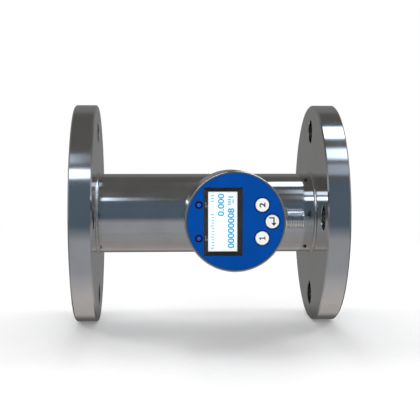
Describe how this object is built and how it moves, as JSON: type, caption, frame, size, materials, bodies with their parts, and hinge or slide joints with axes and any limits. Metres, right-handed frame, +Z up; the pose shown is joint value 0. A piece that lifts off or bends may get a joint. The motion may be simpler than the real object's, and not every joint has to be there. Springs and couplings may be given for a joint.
{
  "type": "flanged turbine flow meter",
  "caption": "Turbine flow meter in a flanged pipe section, with a helical rotor between flow straighteners and a round display head with keys and a side cable connector.",
  "frame": {"origin": "centre of the inlet flange's raised sealing face, on the pipe's axis", "axes": "+X along the flow from inlet to outlet, +Z up, the display faces -Y"},
  "size_m": [0.2, 0.1755, 0.165],
  "materials": {
    "flange_steel": "machined and polished stainless steel",
    "tube_steel": "polished stainless steel",
    "weld_steel": "bright rippled weld",
    "turned_steel": "turned stainless steel",
    "bezel_steel": "polished stainless steel",
    "straightener_steel": "machined stainless steel",
    "rotor_steel": "machined ferritic stainless steel",
    "spring_steel": "plain spring steel",
    "hard_metal": "ground hard metal",
    "soft_iron": "turned soft iron",
    "magnet": "nickel plated magnet",
    "coil_wire": "enamelled copper wire",
    "black_plastic": "moulded black plastic",
    "lead_sheath": "soft grey sheath",
    "seal_rubber": "black seal rubber",
    "face_blue": "smooth blue",
    "frame_dark": "dark brown",
    "clear_pane": "clear",
    "lcd": "backlit white",
    "circuit_board": "green solder mask",
    "nickel_brass": "nickel plated brass",
    "gold_pins": "gold plated",
    "collar_brown": "dark brown",
    "light_blue": "tinted clear",
    "key_white": "smooth white",
    "plunger_plastic": "grey plastic"
  },
  "bodies": {
    "meter_body": {"inlet_flange": "flange_steel", "outlet_flange": "flange_steel", "meter_tube": "tube_steel", "inlet_neck_weld": "weld_steel", "outlet_neck_weld": "weld_steel", "inlet_face_weld": "weld_steel", "outlet_face_weld": "weld_steel", "inlet_straightener": "straightener_steel", "outlet_straightener": "straightener_steel", "inlet_retaining_ring": "spring_steel", "outlet_retaining_ring": "spring_steel", "rotor_shaft": "hard_metal", "inlet_thrust_washer": "hard_metal", "outlet_thrust_washer": "hard_metal", "sensor_boss": "turned_steel", "boss_weld": "weld_steel", "pickup_pole": "soft_iron", "pickup_bobbin": "black_plastic", "pickup_winding": "coil_wire", "pickup_magnet": "magnet", "pickup_cap": "black_plastic", "pickup_lead": "lead_sheath", "swivel_oring": "seal_rubber", "swivel_washer": "turned_steel", "swivel_ring": "spring_steel"},
    "rotor": {"turbine_rotor": "rotor_steel", "rotor_bush": "hard_metal"},
    "head": {"swivel_stop_screw": "turned_steel", "head_can": "turned_steel", "bezel_ring": "bezel_steel", "face_gasket": "seal_rubber", "face_plate": "face_blue", "window_frame": "frame_dark", "display_window": "clear_pane", "lcd_panel": "lcd", "display_board": "circuit_board", "key_switches": "black_plastic", "signal_board": "circuit_board", "rear_pillars": "nickel_brass", "front_pillars": "nickel_brass", "board_screws": "nickel_brass", "connector_shell": "nickel_brass", "connector_gasket": "seal_rubber", "connector_nut": "nickel_brass", "connector_insert": "black_plastic", "connector_pins": "gold_pins", "connector_lead": "lead_sheath", "light_collar_lower": "collar_brown", "light_collar_upper": "collar_brown", "light_pipe_lower": "light_blue", "light_pipe_upper": "light_blue"},
    "key_lower_body": {"key_lower": "key_white", "key_lower_plunger": "plunger_plastic"},
    "key_upper_body": {"key_upper": "key_white", "key_upper_plunger": "plunger_plastic"},
    "key_enter_body": {"key_enter": "key_white", "key_enter_plunger": "plunger_plastic"}
  },
  "joints": [
    {"name": "rotor_spin", "type": "hinge", "parent": "meter_body", "child": "rotor", "pos_m": [0.1164, 0, 0], "axis": [1, 0, 0], "continuous": true},
    {"name": "head_swivel", "type": "hinge", "parent": "meter_body", "child": "head", "pos_m": [0.1164, -0.093, 0], "axis": [0, -1, 0], "range_deg": [-255, 75]},
    {"name": "key_lower_press", "type": "slide", "parent": "head", "child": "key_lower_body", "axis": [0, 1, 0], "range_m": [0, 0.0006], "stiffness_N_per_m": 2500, "springref_m": -0.0004},
    {"name": "key_upper_press", "type": "slide", "parent": "head", "child": "key_upper_body", "axis": [0, 1, 0], "range_m": [0, 0.0006], "stiffness_N_per_m": 2500, "springref_m": -0.0004},
    {"name": "key_enter_press", "type": "slide", "parent": "head", "child": "key_enter_body", "axis": [0, 1, 0], "range_m": [0, 0.0006], "stiffness_N_per_m": 2500, "springref_m": -0.0004}
  ]
}
